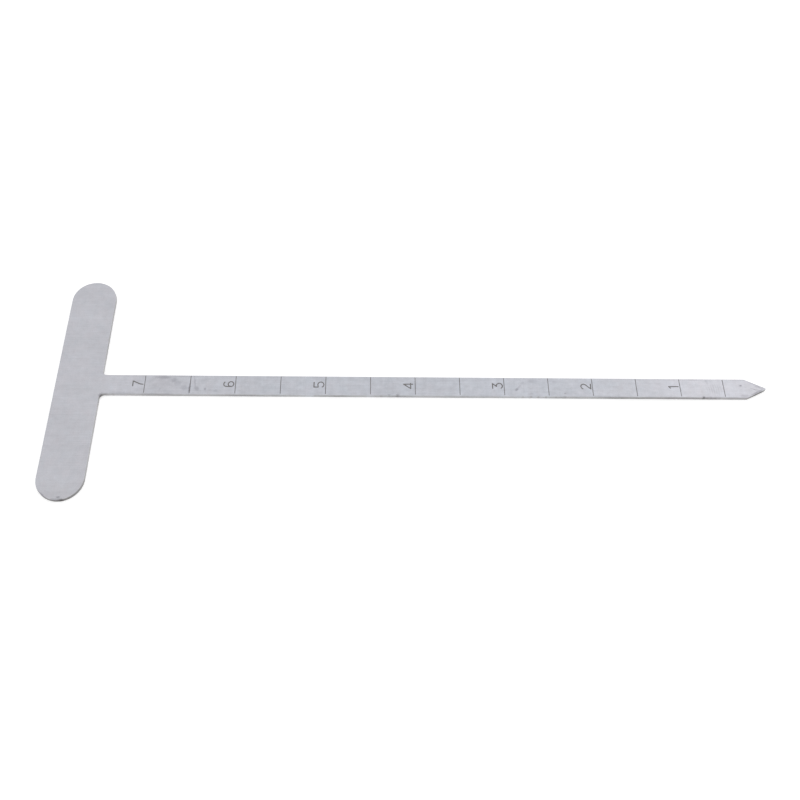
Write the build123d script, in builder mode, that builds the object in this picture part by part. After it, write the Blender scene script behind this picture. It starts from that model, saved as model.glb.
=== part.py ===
"""A flat T-shaped dibber: one cut sheet-steel body with an engraved depth scale.

It lies on its back face. +X points to the tip, +Y runs along the handle and +Z is up.
The origin is the middle of the overall box, on the back face. Lengths are in millimetres.
"""

from build123d import *
from math import radians, sin, tan
import os

os.makedirs("parts", exist_ok=True)

# Driving dimensions of the body
overall_length = 202.3
thickness = 1.2
handle_length = 70.0
handle_width = 12.7
stem_width = 6.1
point_angle = 52.0  # included angle of the point, degrees
tip_radius = 0.3
neck_radius = 1.2  # inside corners between the stem and the handle
edge_radius = 0.1  # edges rounded by tumbling

# Driving dimensions of the scale, which counts from where the sides of the point would meet
inch = 25.4
lines_per_inch = 2
last_inch = 7
groove_depth = 0.12
fill_thickness = 0.08  # dark layer on the floor of each groove
line_width = 0.2
line_near_margin = 0.35  # bare metal left at the -Y end of each line
line_far_margin = 0.17
stroke_width = 0.32
numeral_height = 2.8  # from the baseline to the top, between the centre lines of the strokes
numeral_width = 1.56
numeral_lift = 0.5  # from the inch line to the numeral's baseline
numeral_offset = 0.3  # from the stem's centre line to the numeral's middle, along +Y

# Derived places
tip_x = overall_length / 2
handle_x = -tip_x + handle_width / 2
half_angle = radians(point_angle / 2)
apex_x = tip_x + tip_radius * (1 / sin(half_angle) - 1)
shoulder_x = apex_x - stem_width / 2 / tan(half_angle)
groove_floor = thickness - groove_depth
line_length = stem_width - line_near_margin - line_far_margin
line_y = (line_near_margin - line_far_margin) / 2

# Centre lines of the numerals: x runs across from the middle, y runs up from the baseline
top = numeral_height
side = numeral_width / 2
flag = 0.5  # reach of the flag of the one, across and down
one_upright = 0.2  # the one's upright stands right of the middle, which balances its flag
bar_height = 0.8  # crossbar of the four and foot of the seven
bowl = 0.86  # radius of the bowls of the three and the five
loop = 0.78  # radius of the loop and the hook of the six
neck_height = 2 * bowl - 0.12  # where the five's upright meets its bowl
four_upright = 0.37  # the four's upright stands right of the middle
four_left = 1.05  # the four's crossbar reaches this far left of the middle
four_right = 0.65
four_foot = 0.2  # the four's upright stops this far above the baseline

two_head = CenterArc((0, top - side), side, start_angle=160, arc_size=-203)
three_bowl = CenterArc((0, bowl), bowl, start_angle=100, arc_size=-248)
five_bowl = CenterArc((0, bowl), bowl, start_angle=112, arc_size=-262)

numeral_paths = {
    1: [
        Line((one_upright, 0), (one_upright, top)),
        Line((one_upright, top), (one_upright - flag, top - flag)),
    ],
    2: [
        two_head,
        Line(two_head @ 1, (-side, 0)),
        Line((-side, 0), (side, 0)),
    ],
    3: [
        Line((-side, top), (side, top)),
        Line((side, top), three_bowl @ 0),
        three_bowl,
    ],
    4: [
        Line((four_upright, four_foot), (four_upright, top)),
        Line((four_upright, top), (-four_left, bar_height)),
        Line((-four_left, bar_height), (four_right, bar_height)),
    ],
    5: [
        Line((side, top), (-side, top)),
        Line((-side, top), (-side, neck_height)),
        Line((-side, neck_height), five_bowl @ 0),
        five_bowl,
    ],
    6: [
        CenterArc((0, loop), loop, start_angle=0, arc_size=180),
        CenterArc((0, loop), loop, start_angle=180, arc_size=180),
        Line((-loop, loop), (-loop, top - loop)),
        CenterArc((0, top - loop), loop, start_angle=180, arc_size=-140),
    ],
    7: [
        Line((-side, top), (side, top)),
        Line((side, top), (-side / 5, bar_height)),
        Line((-side / 5, bar_height), (-side / 3, 0)),
    ],
}

# Outlines of the marks, each on the floor of its groove: a line across the stem at every step,
# and a numeral that stands upright beside its inch line when the tip points down
mark_outlines = {}
for step in range(1, last_inch * lines_per_inch + 1):
    inches = step / lines_per_inch
    line_middle = (apex_x - inches * inch, line_y, groove_floor)
    with BuildSketch(Plane(line_middle)) as line:
        Rectangle(line_width, line_length)
    mark_outlines[f"line_{inches:.1f}_inch".replace(".", "_")] = line.sketch

for numeral, paths in numeral_paths.items():
    baseline_middle = (apex_x - numeral * inch - numeral_lift, numeral_offset, groove_floor)
    with BuildSketch(Plane(baseline_middle, x_dir=(0, 1, 0), z_dir=(0, 0, 1))) as figure:
        for path in paths:
            SlotArc(path, stroke_width)
    mark_outlines[f"numeral_{numeral}"] = figure.sketch

# The body: handle, stem and point cut from sheet in one piece, with its edges rounded
with BuildPart() as body:
    with BuildSketch(Plane.XY):
        with Locations((handle_x, 0)):
            SlotOverall(handle_length, handle_width, rotation=90)
        with BuildLine():
            Polyline(
                (handle_x, -stem_width / 2),
                (shoulder_x, -stem_width / 2),
                (apex_x, 0),
                (shoulder_x, stem_width / 2),
                (handle_x, stem_width / 2),
                close=True,
            )
        make_face()
    extrude(amount=thickness)
    corners = body.edges().filter_by(Axis.Z).sort_by(Axis.X)
    fillet(corners[-1], radius=tip_radius)
    necks = corners.filter_by_position(Axis.Y, -stem_width, stem_width).group_by(Axis.X)[0]
    fillet(necks, radius=neck_radius)
    rims = body.faces().filter_by(Plane.XY).edges()
    fillet(rims, radius=edge_radius)
    for outline in mark_outlines.values():
        extrude(outline, amount=2 * groove_depth, mode=Mode.SUBTRACT)
body.part.label = "dibber_body"
export_step(body.part, "parts/dibber_body.step")

# The dark layer in each groove
for name, outline in mark_outlines.items():
    with BuildPart() as fill:
        extrude(outline, amount=fill_thickness)
    fill.part.label = name
    export_step(fill.part, f"parts/{name}.step")
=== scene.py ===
"""Looks for a flat T-shaped dibber in rolled sheet steel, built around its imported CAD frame.

The sheet's body gets a finer mesh with tumbled, slightly uneven cut edges. The engraved marks stay as the CAD
nodes. Lengths are in metres, in the CAD frame: +X to the tip, +Y along the handle, +Z out of the marked face.
The near side is -Y, which faces the camera, and the far side is +Y.
"""
import math

import bmesh
import bpy
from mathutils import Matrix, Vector, noise
from mathutils.geometry import delaunay_2d_cdt


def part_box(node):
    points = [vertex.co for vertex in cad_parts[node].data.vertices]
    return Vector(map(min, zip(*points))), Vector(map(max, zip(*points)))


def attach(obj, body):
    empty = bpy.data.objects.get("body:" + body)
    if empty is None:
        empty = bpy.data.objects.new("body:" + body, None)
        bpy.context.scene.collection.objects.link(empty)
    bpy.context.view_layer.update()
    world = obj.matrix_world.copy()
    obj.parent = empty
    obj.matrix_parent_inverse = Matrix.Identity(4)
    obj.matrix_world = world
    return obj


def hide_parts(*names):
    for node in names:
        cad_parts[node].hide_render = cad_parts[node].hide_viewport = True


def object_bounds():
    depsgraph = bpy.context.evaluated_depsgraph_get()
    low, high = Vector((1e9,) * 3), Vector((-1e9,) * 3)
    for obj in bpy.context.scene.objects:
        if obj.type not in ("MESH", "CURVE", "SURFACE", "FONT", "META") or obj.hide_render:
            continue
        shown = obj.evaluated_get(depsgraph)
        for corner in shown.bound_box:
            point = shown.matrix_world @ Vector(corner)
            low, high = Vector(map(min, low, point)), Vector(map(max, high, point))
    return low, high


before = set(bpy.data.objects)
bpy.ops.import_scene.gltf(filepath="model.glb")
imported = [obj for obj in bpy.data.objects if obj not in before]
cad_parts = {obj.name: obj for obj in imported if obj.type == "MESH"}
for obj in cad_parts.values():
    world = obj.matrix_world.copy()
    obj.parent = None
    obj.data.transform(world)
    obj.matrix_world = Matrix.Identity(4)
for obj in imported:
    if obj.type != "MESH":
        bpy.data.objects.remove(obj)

cad_low, cad_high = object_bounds()
marks = {name: node for name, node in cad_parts.items() if name != "dibber_body"}

# The body's driving dimensions, with the rest from the frame
body_low, body_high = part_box("dibber_body")
MM = 0.001
STEM_WIDTH = 6.1 * MM
HANDLE_WIDTH = 12.7 * MM
TIP_RADIUS = 0.3 * MM
NECK_RADIUS = 1.2 * MM
EDGE_RADIUS = 0.1 * MM
HALF_ANGLE = math.radians(52.0 / 2)  # half the angle of the point
THICKNESS = body_high.z - body_low.z

END_RADIUS = HANDLE_WIDTH / 2
handle_x = body_low.x + END_RADIUS
neck_x = handle_x + END_RADIUS
end_y = body_high.y - END_RADIUS
stem_y = STEM_WIDTH / 2
tip_centre_x = body_high.x - TIP_RADIUS
scale_zero_x = tip_centre_x + TIP_RADIUS / math.sin(HALF_ANGLE)
shoulder_x = scale_zero_x - stem_y / math.tan(HALF_ANGLE)

# How finely the outline and its edges are cut
STEP = 0.25 * MM
TIP_STEP = STEP / 4
NECK_STEP = STEP / 3
MIN_ARC_STEPS = 6
FILLET_STEPS = 4
WALL_STEPS = 5
WELD = 0.0001 * MM  # corners of a mark's mesh that are closer than this are one
UPWARD = 0.9  # a face whose normal has Z above this looks up

# How far the cut stands back from the nominal outline, in mm: a slow wander and a finer chatter
WANDER = 0.020
WANDER_LENGTH = 7 * MM
CHATTER = 0.012
CHATTER_LENGTH = 1.1 * MM
CHATTER_HEIGHT = 2.5 * MM
WANDER_SEED = 0.3
CHATTER_SEED = 9
RIM_EASE = 0.7  # share of both that is lost where the rounded rim meets the face
DENT_FADE = 1.4  # how fast a dent fades down the wall
NEAR_FACING = -0.9  # an outward normal with Y above this has no dents

# How much oxide the cut left, from 0 to 1, and how much painted shade darkens the walls that face -Y, +X or
# between them
OXIDE_BASE = 0.20
PAINTED_SHADE_NEAR = 0.07
PAINTED_SHADE_TIPWARD = 0.09
PAINTED_SHADE_TURNED = 0.18
OXIDE_WAVES = ((45 * MM, 0.12), (9 * MM, 0.10))  # it comes and goes over these lengths, by these amounts
OXIDE_SEED = 4.0  # picks where it is light and heavy
OXIDE_IN_DENTS = 1.3  # per mm of a dent's depth
# Share of the oxide and painted shade that a place on the wall has: a little at the face's rim, all of it low
# on the wall
OXIDE_AND_SHADE_AT_RIM = 0.1
OXIDE_AND_SHADE_RISE = 1.7
OXIDE_AND_SHADE_MOST = 1.2
RIM_POWER = 1.6  # how late it comes on round the rounded rim

# In these lists, a place on the sheet is its distance from the scale's zero and its place across, and all
# lengths are in mm.
#
# Where the wall is darker or lighter: patches of more or less oxide, painted shade at the handle's near end,
# the neck and the point, and painted burr highlights on the stem's near edge: (distance, place across, reach,
# extra darkness)
OXIDE_SHADE_AND_GLINT_PATCHES = (
    # Painted shade at the handle's near end, on this line and the next
    (200.2, -33.8, 2.4, 0.22),
    (196.0, -35.0, 3.0, 0.30),
    # Painted shade at the neck
    (189.6, -3.4, 2.0, 0.04),
    (174.0, -3.0, 8.0, 0.09),
    (184.5, -3.0, 3.0, -0.08),
    (147.0, -3.0, 11.0, 0.05),
    # Painted burr highlight
    (131.5, -3.0, 2.2, -0.18),
    (123.5, -3.0, 3.0, 0.06),
    # Painted burr highlight
    (114.5, -3.0, 1.2, -0.12),
    (111.0, -3.0, 1.6, -0.08),
    (106.0, -3.0, 2.5, 0.08),
    (67.0, -3.0, 4.0, -0.06),
    (28.0, -3.0, 20.0, 0.01),
    (10.0, -3.0, 4.0, 0.05),
    # Painted shade on the point's near flank, on this line and the next
    (5.0, -2.6, 1.2, 0.08),
    (2.9, -1.3, 2.6, 0.40),
)
# Small dents in the near edges of the stem and of the handle's end: (distance, half width, depth at the face)
NICKS = (
    (19.0, 0.32, 0.22),
    (18.0, 0.20, 0.07),
    (16.9, 0.22, 0.06),
    (15.6, 0.20, 0.07),
    (14.3, 0.18, 0.05),
    (58.9, 0.25, 0.08),
    (61.5, 0.25, 0.08),
    (64.4, 0.25, 0.13),
    (66.6, 0.30, 0.14),
    (68.7, 0.28, 0.15),
    (71.0, 0.25, 0.09),
    (106.7, 0.35, 0.13),
    (109.0, 0.25, 0.07),
    (111.3, 0.30, 0.10),
    (129.8, 0.35, 0.05),
    (186.2, 0.40, 0.06),
    (195.1, 0.50, 0.16),
)


def on_sheet(distance, across=0.0):
    """X and Y of a place on the sheet."""
    return scale_zero_x - distance * MM, across * MM


# ---- The body's mesh

def arc_points(centre, radius, start, sweep, step):
    """Points on an arc and the outward normals of the sheet there. A negative sweep is a hollow corner."""
    count = max(MIN_ARC_STEPS, math.ceil(abs(math.radians(sweep)) * radius / step))
    outward = 1 if sweep > 0 else -1
    points = []
    for i in range(count + 1):
        angle = math.radians(start + sweep * i / count)
        direction = Vector((math.cos(angle), math.sin(angle)))
        points.append((centre + radius * direction, outward * direction))
    return points


def line_points(start, end, step):
    """Points between two ends, without them, and the outward normals on the right of the way."""
    count = math.ceil((end - start).length / step)
    along = (end - start).normalized()
    normal = Vector((along.y, -along.x))
    return [(start.lerp(end, i / count), normal) for i in range(1, count)]


def half_outline():
    """The outline's far half, from the tip to the middle of the handle's outer edge."""
    slope = math.degrees(math.pi / 2 - HALF_ANGLE)
    flank_normal = Vector((math.sin(HALF_ANGLE), math.cos(HALF_ANGLE)))
    tip = arc_points(Vector((tip_centre_x, 0)), TIP_RADIUS, 0, slope, TIP_STEP)
    shoulder = Vector((shoulder_x, stem_y))
    bisector = flank_normal + Vector((0, 1))
    mitre = bisector * 2 / bisector.length_squared
    neck_centre = Vector((neck_x + NECK_RADIUS, stem_y + NECK_RADIUS))
    neck = arc_points(neck_centre, NECK_RADIUS, 270, -90, NECK_STEP)
    end = arc_points(Vector((handle_x, end_y)), END_RADIUS, 0, 180, STEP)
    back = Vector((body_low.x, 0))
    return [
        *tip,
        *line_points(tip[-1][0], shoulder, STEP),
        (shoulder, mitre),
        *line_points(shoulder, neck[0][0], STEP),
        *neck,
        *line_points(neck[-1][0], end[0][0], STEP),
        *end,
        *line_points(end[-1][0], back, STEP),
        (back, Vector((-1, 0))),
    ]


def outline():
    """The whole outline, anticlockwise seen from above."""
    far = half_outline()
    near = [(Vector((p.x, -p.y)), Vector((n.x, -n.y))) for p, n in reversed(far[1:-1])]
    return far + near


def waviness(point, height):
    """How far the cut's wall stands back from the nominal outline."""
    slow = noise.noise(Vector((point.x, point.y, WANDER_SEED)) / WANDER_LENGTH)
    chatter_x = point.x / CHATTER_LENGTH
    chatter_y = point.y / CHATTER_LENGTH
    fine = noise.noise(Vector((chatter_x, chatter_y, height / CHATTER_HEIGHT + CHATTER_SEED)))
    return (WANDER * (1 + slow) + CHATTER * (1 + fine)) * MM / 2


def nick_depth(point, normal):
    """How deep the dents in the near edge are here, at the face."""
    if normal.y > NEAR_FACING:
        return 0.0
    depth = 0.0
    for distance, half_width, deepest in NICKS:
        away = (on_sheet(distance)[0] - point.x) / (half_width * MM)
        depth += deepest * MM * math.exp(-(away**2))
    return depth


def oxide_and_shade_at(point, normal, place):
    """Oxide and painted shade on the cut, from 0 to 1, at a place from 0 on the face's rim to 1 low on the
    wall.
    """
    # Painted shade: walls that face -Y and +X, and most of all those between them, are darkened on top of the
    # oxide
    near = max(0.0, -normal.y)
    tipward = max(0.0, normal.x)
    turned = tipward * near * 2
    amount = OXIDE_BASE + PAINTED_SHADE_NEAR * near + PAINTED_SHADE_TIPWARD * tipward + PAINTED_SHADE_TURNED * turned
    for length, share in OXIDE_WAVES:
        amount += share * noise.noise(Vector((point.x / length, point.y / length, OXIDE_SEED)))
    for distance, across, reach, extra in OXIDE_SHADE_AND_GLINT_PATCHES:
        centre = Vector(on_sheet(distance, across))
        amount += extra * math.exp(-(((point - centre).length / (reach * MM)) ** 2))
    amount += OXIDE_IN_DENTS * nick_depth(point, normal) / MM
    return max(0.0, min(1.0, amount * min(OXIDE_AND_SHADE_MOST, OXIDE_AND_SHADE_RISE * place + OXIDE_AND_SHADE_AT_RIM)))


def edge_profile():
    """Rings of the edge from the face down: (setback in edge radii, height, place on the wall, 0 to 1)."""
    rings = []
    for i in range(FILLET_STEPS + 1):
        angle = math.pi / 2 * i / FILLET_STEPS
        height = THICKNESS - EDGE_RADIUS * (1 - math.cos(angle))
        rings.append((1 - math.sin(angle), height, 0.5 * (i / FILLET_STEPS) ** RIM_POWER))
    straight = THICKNESS - 2 * EDGE_RADIUS
    for i in range(1, WALL_STEPS):
        height = THICKNESS - EDGE_RADIUS - straight * i / WALL_STEPS
        rings.append((0.0, height, 0.5 + 0.5 * i / WALL_STEPS))
    for setback, height, _ in reversed(rings[: FILLET_STEPS + 1]):
        rings.append((setback, THICKNESS - height, 1.0))
    return rings


def mark_loops(node):
    """The closed outlines of a mark's top face, which are the groove's outlines too."""
    shape = bmesh.new()
    shape.from_mesh(node.data)
    bmesh.ops.remove_doubles(shape, verts=shape.verts, dist=WELD)
    top = {face for face in shape.faces if face.normal.z > UPWARD}
    edges = [e for e in shape.edges if sum(face in top for face in e.link_faces) == 1]
    after = {}
    for edge in edges:
        for vert in edge.verts:
            after.setdefault(vert, []).append(edge.other_vert(vert))
    loops = []
    while after:
        first = next(iter(after))
        loop = []
        vert = first
        while vert in after:
            loop.append(vert.co.xy)
            neighbours = after.pop(vert)
            vert = next((other for other in neighbours if other in after), None)
        loops.append(loop)
    shape.free()
    return loops


def fill_face(outer, holes):
    """Triangles of the face inside the outer loop. Each is (corner indices, True if it is in a groove)."""
    points = [p / MM for loop in [outer, *holes] for p in loop]
    starts = []
    count = 0
    for loop in [outer, *holes]:
        starts.append(range(count, count + len(loop)))
        count += len(loop)
    fill_inside = 1
    tolerance = 1e-6
    _, _, faces, sources, _, owners = delaunay_2d_cdt(points, [], starts, fill_inside, tolerance)
    return [
        ([sources[corner][0] for corner in face], len(owner) % 2 == 0)
        for face, owner in zip(faces, owners)
    ]


def add_edge(sheet, oxide_and_shade_layer):
    """The cut edge with its rounded rims. Returns its rings of corners, from the face down."""
    shape = outline()
    rings = []
    for setback, height, down in edge_profile():
        ring = []
        for point, normal in shape:
            wander = waviness(point, height) * (1 - RIM_EASE * setback)
            dent = nick_depth(point, normal) * max(0.0, 1 - DENT_FADE * down)
            place = point - normal * (setback * EDGE_RADIUS + wander + dent)
            vert = sheet.verts.new((place.x, place.y, body_low.z + height))
            # Each corner carries its oxide and the painted shade of walls facing -Y and +X
            vert[oxide_and_shade_layer] = oxide_and_shade_at(point, normal, down)
            ring.append(vert)
        rings.append(ring)
    for upper, lower in zip(rings, rings[1:]):
        for i in range(len(shape)):
            after = (i + 1) % len(shape)
            wall = sheet.faces.new((upper[i], lower[i], lower[after], upper[after]))
            wall.smooth = True
    return rings


def add_marked_face(sheet, rim, groove_layer):
    """The face inside its rim, with a groove under each mark, down to the mark's underside."""
    groove_floor = min(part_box(name)[0].z for name in marks)
    holes = [loop for node in marks.values() for loop in mark_loops(node)]
    brink = [[sheet.verts.new((p.x, p.y, body_high.z)) for p in loop] for loop in holes]
    root = [[sheet.verts.new((p.x, p.y, groove_floor)) for p in loop] for loop in holes]
    top_verts = [*rim, *[v for loop in brink for v in loop]]
    root_verts = [*rim, *[v for loop in root for v in loop]]
    for corners, in_groove in fill_face([v.co.xy for v in rim], holes):
        source = root_verts if in_groove else top_verts
        face = sheet.faces.new([source[i] for i in corners])
        face[groove_layer] = float(in_groove)
    for upper, lower in zip(brink, root):
        for i in range(len(upper)):
            after = (i + 1) % len(upper)
            wall = sheet.faces.new((upper[i], upper[after], lower[after], lower[i]))
            wall[groove_layer] = 1.0


def body_mesh():
    """The sheet as one closed mesh: both faces, the grooves of the scale and the cut edge."""
    sheet = bmesh.new()
    # A layer for the cut's oxide and the painted shade on its walls
    oxide_and_shade_layer = sheet.verts.layers.float.new("oxide_and_shade")
    groove_layer = sheet.faces.layers.float.new("groove")
    rings = add_edge(sheet, oxide_and_shade_layer)
    add_marked_face(sheet, rings[0], groove_layer)
    for corners, _ in fill_face([v.co.xy for v in rings[-1]], []):
        sheet.faces.new([rings[-1][i] for i in corners])
    bmesh.ops.recalc_face_normals(sheet, faces=sheet.faces)
    mesh = bpy.data.meshes.new("dibber_sheet")
    sheet.to_mesh(mesh)
    sheet.free()
    return mesh


def add_body():
    """The sheet's object, which stands for the CAD body."""
    body = bpy.data.objects.new("dibber_sheet", body_mesh())
    bpy.context.scene.collection.objects.link(body)
    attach(body, "root")
    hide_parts("dibber_body")
    return body


# ---- Materials

class Nodes:
    """Adds nodes to a material's tree. A link is made where a value is another node's output."""

    def __init__(self, tree):
        self.tree = tree

    def add(self, kind, *values, output=0, **settings):
        made = self.tree.nodes.new("ShaderNode" + kind)
        for name, value in settings.items():
            setattr(made, name, value)
        for socket, value in zip(made.inputs, values):
            if isinstance(value, bpy.types.NodeSocket):
                self.tree.links.new(value, socket)
            elif value is not None:
                socket.default_value = value
        return made.outputs[output]

    def math(self, operation, *values):
        return self.add("Math", *values, operation=operation)

    def remap(self, value, low, high, to_low=0.0, to_high=1.0):
        """A smooth step from low to high. A low above high turns it round."""
        return self.add(
            "MapRange", value, low, high, to_low, to_high, interpolation_type="SMOOTHSTEP"
        )

    def scaled(self, place, sizes, rotation=0.0, centre=(0.0, 0.0, 0.0)):
        """Coordinates in units of sizes, from a centre, turned about Z."""
        return self.add(
            "Mapping", place, centre, (0.0, 0.0, rotation), sizes, vector_type="TEXTURE"
        )

    def noise(self, place, detail=2.0, roughness=0.5):
        """Noise about 0, mostly within -0.5 to 0.5."""
        value = self.add("TexNoise", place, None, 1.0, detail, roughness)
        return self.math("SUBTRACT", value, 0.5)

    def weighted(self, terms, start):
        """start plus each value times its weight."""
        total = start
        for value, weight in terms:
            total = self.math("MULTIPLY_ADD", value, weight, total)
        return total

    def tinted(self, colour, tint):
        """A colour times a tint."""
        return self.add("VectorMath", colour, tint, operation="MULTIPLY")

    def blend(self, share, first, second):
        """A colour from the first to the second."""
        mix = self.tree.nodes.new("ShaderNodeMix")
        mix.data_type = "RGBA"
        # Sockets 6 and 7 are the two colours
        for socket, value in ((mix.inputs[0], share), (mix.inputs[6], first), (mix.inputs[7], second)):
            if isinstance(value, bpy.types.NodeSocket):
                self.tree.links.new(value, socket)
            else:
                socket.default_value = value
        return mix.outputs[2]


def principled(name, **values):
    """A material with its Principled node. Values are that node's sockets, with spaces as underscores."""
    material = bpy.data.materials.new(name)
    material.use_nodes = True
    shader = material.node_tree.nodes["Principled BSDF"]
    for socket, value in values.items():
        shader.inputs[socket.replace("_", " ")].default_value = value
    return material, shader


# Colours, with white for no tint
WHITE = (1, 1, 1, 1)
FACE_DARK = (0.10, 0.10, 0.108, 1)
FACE_LIGHT = (1.0, 1.0, 1.07, 1)
COOL_CAST = (0.985, 1.008, 1.018, 1)
BLUE_TINT = (0.97, 1.003, 1.02, 1)
WARM_TINT = (1.02, 0.995, 1.0, 1)
BARE_CUT_TINT = (1.0, 0.99, 0.935, 1)
SMUDGE_COLOUR = (0.12, 0.11, 0.15, 1)
# The cut's oxide colour, which also paints the shade on the walls facing -Y and +X
OXIDE_AND_SHADE_COLOUR = (0.085, 0.078, 0.076, 1)
MARK_DARK = (0.10, 0.095, 0.095, 1)
MARK_LIGHT = (0.27, 0.26, 0.26, 1)

SMUDGE_COVER = 0.42  # how far a smudge of strength 1 takes the steel to the smudge's colour
SMUDGE_WARP = 0.6 * MM  # how far the edge of a smudge wanders
SMUDGE_WARP_LENGTH = 0.7 * MM
# A smudge fades from its core to its edge, in half sizes
SMUDGE_CORE = 0.35
SMUDGE_EDGE = 1.35

# Dark marks on the face: smudges of use, and thin bands that darken it along the rims, round the neck and at
# the handle's near end: (distance, place across, half length, half width, turn in degrees, strength)
STAINS = (
    (2.6, 0.50, 1.60, 0.17, -20, 0.50),
    (3.3, -1.24, 2.40, 0.24, 26, 0.80),
    (3.2, 1.18, 2.60, 0.16, -26, 0.60),
    (3.6, -0.30, 1.60, 0.15, -14, 0.70),
    (6.9, -2.35, 1.30, 0.55, 0, 0.40),
    (7.6, 0.95, 0.36, 0.28, 0, 1.10),
    (8.0, 2.75, 2.40, 0.36, 0, 0.24),
    (10.0, -2.95, 3.60, 0.26, 0, 0.36),
    (16.4, -2.95, 2.60, 0.28, 0, 0.50),
    (17.4, 2.10, 0.35, 0.80, 20, 0.30),
    (19.0, -2.85, 0.42, 0.32, 0, 0.90),
    (21.5, 2.72, 2.60, 0.36, 0, 0.26),
    (29.0, -2.98, 9.00, 0.22, 0, 0.38),
    (46.0, -2.98, 5.50, 0.20, 0, 0.26),
    (58.8, -1.95, 0.40, 0.28, 20, 0.80),
    (61.6, 1.85, 0.80, 0.35, 0, 0.30),
    (68.6, -2.25, 0.90, 0.35, 0, 0.40),
    (68.0, 1.90, 1.60, 0.60, 8, 0.34),
    (70.9, 1.40, 0.50, 0.35, 40, 0.30),
    (71.9, -0.05, 0.30, 1.00, -30, 0.34),
    (72.7, -0.80, 0.65, 0.36, 35, 0.85),
    (106.6, -2.82, 0.60, 0.30, 0, 0.75),
    (109.0, -2.80, 0.50, 0.24, 0, 0.60),
    (129.5, 2.85, 2.40, 0.28, 0, 0.24),
    (142.0, 2.60, 2.60, 0.22, 2, 0.28),
    (157.8, -1.90, 0.60, 0.45, 0, 0.42),
    (160.9, -1.35, 0.42, 0.40, 0, 0.80),
    (163.2, -1.20, 0.80, 0.70, -20, 0.55),
    (163.9, 1.10, 0.30, 2.00, 10, 0.45),
    (165.2, -1.10, 0.26, 1.90, -4, 1.00),
    (166.6, -0.90, 1.20, 0.80, 0, 0.46),
    (167.0, 2.75, 3.20, 0.38, 0, 0.22),
    (168.6, 0.45, 1.10, 0.80, 30, 0.42),
    (169.8, 1.50, 1.00, 0.75, 30, 0.50),
    (171.6, 0.90, 2.60, 1.70, 0, 0.10),
    (172.9, 2.40, 2.00, 0.65, 0, 0.65),
    (173.4, -1.45, 0.45, 0.25, 50, 0.36),
    (175.0, -2.98, 7.00, 0.22, 0, 0.30),
    (184.0, -2.88, 4.00, 0.32, 0, 0.34),
    # These two darken the face round the neck's near rim
    (188.5, -3.00, 0.90, 0.24, 8, 0.45),
    (189.75, -3.30, 0.90, 0.26, 45, 0.72),
    (195.95, -34.12, 0.60, 0.28, 0, 1.00),
    (196.20, -34.78, 2.40, 0.30, 0, 0.55),
    (200.15, -33.55, 2.60, 0.30, -38, 0.85),
)


# Curved scratches across the stem near the point, about a centre up the stem
SCRATCH_MIDDLE = (15.3, -0.4)
SCRATCH_REACH = (3.2 * MM, 2.4 * MM, MM)
SCRATCH_CENTRE = (27, -1.0)
SCRATCH_WAVES = 9.5  # radians per mm of radius


def stains(nodes, place):
    """Dark smudges of handling, small pits and darker bands along the rims, each a soft ellipse with a
    wandering edge.
    """
    wander = nodes.add("TexNoise", nodes.scaled(place, (SMUDGE_WARP_LENGTH,) * 3), None, 1.0, 3.0, output=1)
    wander = nodes.add("VectorMath", wander, (0.5, 0.5, 0.5), operation="SUBTRACT")
    reach = (SMUDGE_WARP, SMUDGE_WARP, 0)
    warped = nodes.add("VectorMath", wander, reach, place, operation="MULTIPLY_ADD")
    total = 0.0
    for distance, across, long, wide, turn, strength in STAINS:
        centre = (*on_sheet(distance, across), THICKNESS)
        sizes = (long * MM, wide * MM, THICKNESS)
        local = nodes.scaled(warped, sizes, math.radians(turn), centre)
        radius = nodes.add("VectorMath", local, operation="LENGTH", output=1)
        total = nodes.weighted([(nodes.remap(radius, SMUDGE_EDGE, SMUDGE_CORE), strength)], total)
    return total


def arc_scratches(nodes, place):
    """Faint curved scratches across the stem near the point."""
    middle = (*on_sheet(*SCRATCH_MIDDLE), THICKNESS)
    window = nodes.scaled(place, SCRATCH_REACH, 0.0, middle)
    window = nodes.remap(nodes.add("VectorMath", window, operation="LENGTH", output=1), 1.0, 0.3)
    centre = (*on_sheet(*SCRATCH_CENTRE), THICKNESS)
    centred = nodes.scaled(place, (MM, MM, MM), 0.0, centre)
    radius = nodes.add("VectorMath", centred, operation="LENGTH", output=1)
    ripple = nodes.math("SINE", nodes.math("MULTIPLY", radius, SCRATCH_WAVES))
    return nodes.math("MULTIPLY", nodes.remap(ripple, 0.3, 1.0), window)


def flank_wear(nodes, place, along):
    """Deburring scratches on the point, nearly along its far flank."""
    along_flank = nodes.scaled(place, (3 * MM, 0.2 * MM, 0.2 * MM), -HALF_ANGLE * 0.8)
    on_point = nodes.remap(along, shoulder_x, shoulder_x + 3 * MM)
    return nodes.math("MULTIPLY", nodes.noise(along_flank, 1.0), on_point)


def face_casts(nodes, place, along, colour):
    """The colour with a cooler cast in the middle of the stem and a slow drift between blue and warm."""
    cool = nodes.math(
        "MULTIPLY",
        nodes.remap(along, neck_x, neck_x + 60 * MM),
        nodes.remap(along, shoulder_x - 10 * MM, shoulder_x - 60 * MM),
    )
    colour = nodes.tinted(colour, nodes.blend(cool, WHITE, COOL_CAST))
    hue = nodes.noise(nodes.scaled(place, (2.6 * MM, 2.6 * MM, 5 * MM)), 2.0)
    drift = nodes.weighted([(hue, 0.9)], 0.5)
    return nodes.tinted(colour, nodes.blend(drift, BLUE_TINT, WARM_TINT))


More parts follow.
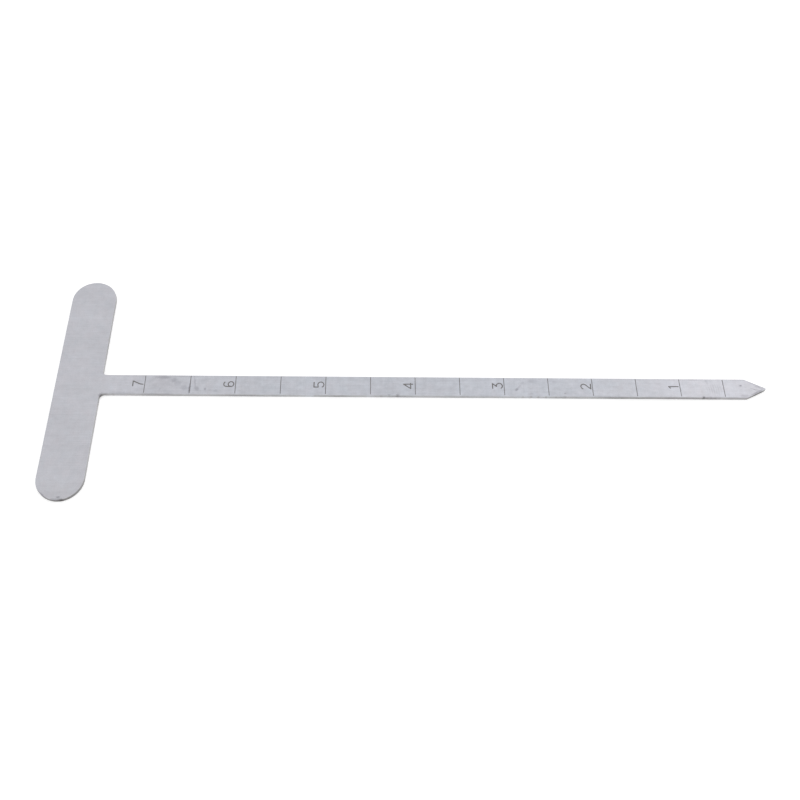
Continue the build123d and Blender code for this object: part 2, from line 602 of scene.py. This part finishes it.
def steel_material():
    """Satin rolled steel: fine grain along the stem, cloudy mottling, smudges, and cut edges darkened by
    oxide and painted shade.
    """
    material, shader = principled("rolled_steel", Metallic=1.0)
    nodes = Nodes(material.node_tree)
    place = nodes.add("TexCoord", output=3)
    along = nodes.add("SeparateXYZ", place)
    used = nodes.remap(along, neck_x, neck_x + 8 * MM, 0.6, 1.0)  # the handle is cleaner than the stem

    clouds = nodes.noise(nodes.scaled(place, (9 * MM, 6 * MM, 3 * MM)), 3.0)
    mottle = nodes.noise(nodes.scaled(place, (1.9 * MM, 1.3 * MM, MM)), 3.0, 0.6)
    mottle = nodes.math("MULTIPLY", mottle, used)
    grain = nodes.noise(nodes.scaled(place, (9 * MM, 0.16 * MM, 0.16 * MM)), 2.0, 0.6)
    across = nodes.noise(nodes.scaled(place, (0.4 * MM, 5 * MM, 2 * MM)), 1.0)
    across = nodes.math("MULTIPLY", across, used)
    pores = nodes.noise(nodes.scaled(place, (0.28 * MM, 0.2 * MM, 0.2 * MM)), 1.0)
    dirt = stains(nodes, place)

    face_terms = [
        (clouds, 0.09),
        (mottle, 0.21),
        (grain, 0.13),
        (across, 0.05),
        (pores, 0.14),
        (arc_scratches(nodes, place), -0.09),
        (flank_wear(nodes, place, along), 0.20),
    ]
    face = nodes.blend(nodes.weighted(face_terms, 0.51), FACE_DARK, FACE_LIGHT)
    face = face_casts(nodes, place, along, face)
    face = nodes.blend(nodes.math("MULTIPLY", dirt, SMUDGE_COVER), face, SMUDGE_COLOUR)

    # The cut's oxide and the painted shade on the walls are streaked down the wall and patchy along it, and
    # the oxide's colour fills the grooves
    oxide_and_shade = nodes.add("Attribute", attribute_name="oxide_and_shade", output=2)
    groove = nodes.add("Attribute", attribute_name="groove", output=2)
    drag = nodes.noise(nodes.scaled(place, (0.22 * MM, 0.22 * MM, 1.6 * MM)), 2.0, 0.6)
    patches = nodes.noise(nodes.scaled(place, (2.2 * MM, 2.2 * MM, 1.2 * MM)), 2.0)
    rough_cut = nodes.weighted([(drag, 0.35), (patches, 0.45)], 1.0)
    scale_and_shade = nodes.math("MULTIPLY", oxide_and_shade, rough_cut)
    scale_and_shade = nodes.add("Clamp", nodes.math("MAXIMUM", scale_and_shade, groove))
    bare_cut = nodes.blend(nodes.math("MULTIPLY", oxide_and_shade, 4.0), WHITE, BARE_CUT_TINT)
    colour = nodes.blend(scale_and_shade, nodes.tinted(face, bare_cut), OXIDE_AND_SHADE_COLOUR)
    material.node_tree.links.new(colour, shader.inputs["Base Color"])

    rough = nodes.weighted([(mottle, 0.08), (grain, 0.10), (dirt, 0.12), (scale_and_shade, 0.18)], 0.36)
    material.node_tree.links.new(rough, shader.inputs["Roughness"])

    drag_depth = nodes.math("MULTIPLY", scale_and_shade, 3.0)
    relief = nodes.weighted([(grain, 0.5), (pores, 0.4), (drag, drag_depth)], 0.0)
    bump = nodes.add("Bump", 0.25, 0.004 * MM, None, relief)
    material.node_tree.links.new(bump, shader.inputs["Normal"])
    return material


def mark_material():
    """The dull grey-brown layer that the engraving leaves, uneven like a burnt surface."""
    material, shader = principled("engraved_mark", Metallic=0.0, Specular_IOR_Level=0.3)
    nodes = Nodes(material.node_tree)
    place = nodes.add("TexCoord", output=3)
    passes = nodes.noise(nodes.scaled(place, (0.09 * MM, 0.09 * MM, 0.09 * MM)), 2.0)
    uneven = nodes.noise(nodes.scaled(place, (0.8 * MM, 0.8 * MM, 0.8 * MM)), 2.0)
    light = nodes.weighted([(passes, 0.5), (uneven, 0.8)], 0.5)
    colour = nodes.blend(light, MARK_DARK, MARK_LIGHT)
    material.node_tree.links.new(colour, shader.inputs["Base Color"])
    material.node_tree.links.new(nodes.weighted([(passes, 0.3)], 0.65), shader.inputs["Roughness"])
    return material


# ---- Stage

FLOOR_RADIUS = 6.0
FLOOR_COLOUR = (0.8, 0.8, 0.8, 1)
# The floor glows, which lifts it to white round the object, and the glow fades between these distances
GLOW_NEAR = 0.42
GLOW_FAR = 0.02
FADE_START = 0.3
FADE_END = 1.6

# Strength of the room's light at the horizon and overhead, and how high a direction points where it is full
HORIZON_LIGHT = 0.72
OVERHEAD_LIGHT = 0.955
FULL_HEIGHT = 0.6

KEY_PLACE = (0.85, 0.45, 0.75)
KEY_SIZE = 0.8
KEY_POWER = 1.2

CAMERA_LENS = 39.03  # in mm, for a sensor 36 mm wide
CAMERA_SENSOR = 36
CAMERA_PLACE = (-0.012712, -0.122149, 0.215108)
CAMERA_TURN = (28.8195, -1.8807, -0.6063)  # in degrees


def add_floor():
    """A large pale floor, brightest round the object and greyer far away, where it meets the backdrop."""
    bpy.ops.mesh.primitive_circle_add(
        vertices=96, radius=FLOOR_RADIUS, fill_type="NGON", location=(0, 0, cad_low.z)
    )
    floor = bpy.context.object
    floor.name = "floor"
    material, shader = principled(
        "pale_floor", Base_Color=FLOOR_COLOUR, Roughness=0.9, Emission_Color=WHITE
    )
    nodes = Nodes(material.node_tree)
    place = nodes.add("TexCoord", output=3)
    reach = nodes.add("VectorMath", place, operation="LENGTH", output=1)
    glow = nodes.remap(reach, FADE_START, FADE_END, GLOW_NEAR, GLOW_FAR)
    material.node_tree.links.new(glow, shader.inputs["Emission Strength"])
    floor.data.materials.append(material)


def add_world():
    """A soft white room: bright overhead, greyer towards the horizon."""
    world = bpy.data.worlds.new("studio")
    bpy.context.scene.world = world
    world.use_nodes = True
    nodes = Nodes(world.node_tree)
    direction = nodes.add("TexCoord", output=0)
    height = nodes.add("SeparateXYZ", direction, output=2)
    light = nodes.remap(height, 0.0, FULL_HEIGHT, HORIZON_LIGHT, OVERHEAD_LIGHT)
    background = world.node_tree.nodes["Background"]
    background.inputs["Color"].default_value = WHITE
    world.node_tree.links.new(light, background.inputs["Strength"])


def add_softbox(name, place, size, power):
    """A square area light that faces the middle of the object."""
    light = bpy.data.lights.new(name, "AREA")
    light.shape = "SQUARE"
    light.size = size
    light.energy = power
    holder = bpy.data.objects.new(name, light)
    bpy.context.scene.collection.objects.link(holder)
    holder.location = place
    holder.rotation_euler = (-Vector(place)).to_track_quat("-Z", "Y").to_euler()


def add_camera():
    """A camera above the near side, which looks down at the middle of the object."""
    camera = bpy.data.cameras.new("camera")
    camera.lens = CAMERA_LENS
    camera.sensor_width = CAMERA_SENSOR
    holder = bpy.data.objects.new("camera", camera)
    bpy.context.scene.collection.objects.link(holder)
    holder.location = CAMERA_PLACE
    holder.rotation_euler = [math.radians(angle) for angle in CAMERA_TURN]
    bpy.context.scene.camera = holder
    bpy.context.scene.view_settings.view_transform = "Standard"


add_camera()
add_floor()
add_world()
add_softbox("key_light", KEY_PLACE, KEY_SIZE, KEY_POWER)
body = add_body()
body.data.materials.append(steel_material())
mark_finish = mark_material()
for node in marks.values():
    node.data.materials.clear()
    node.data.materials.append(mark_finish)
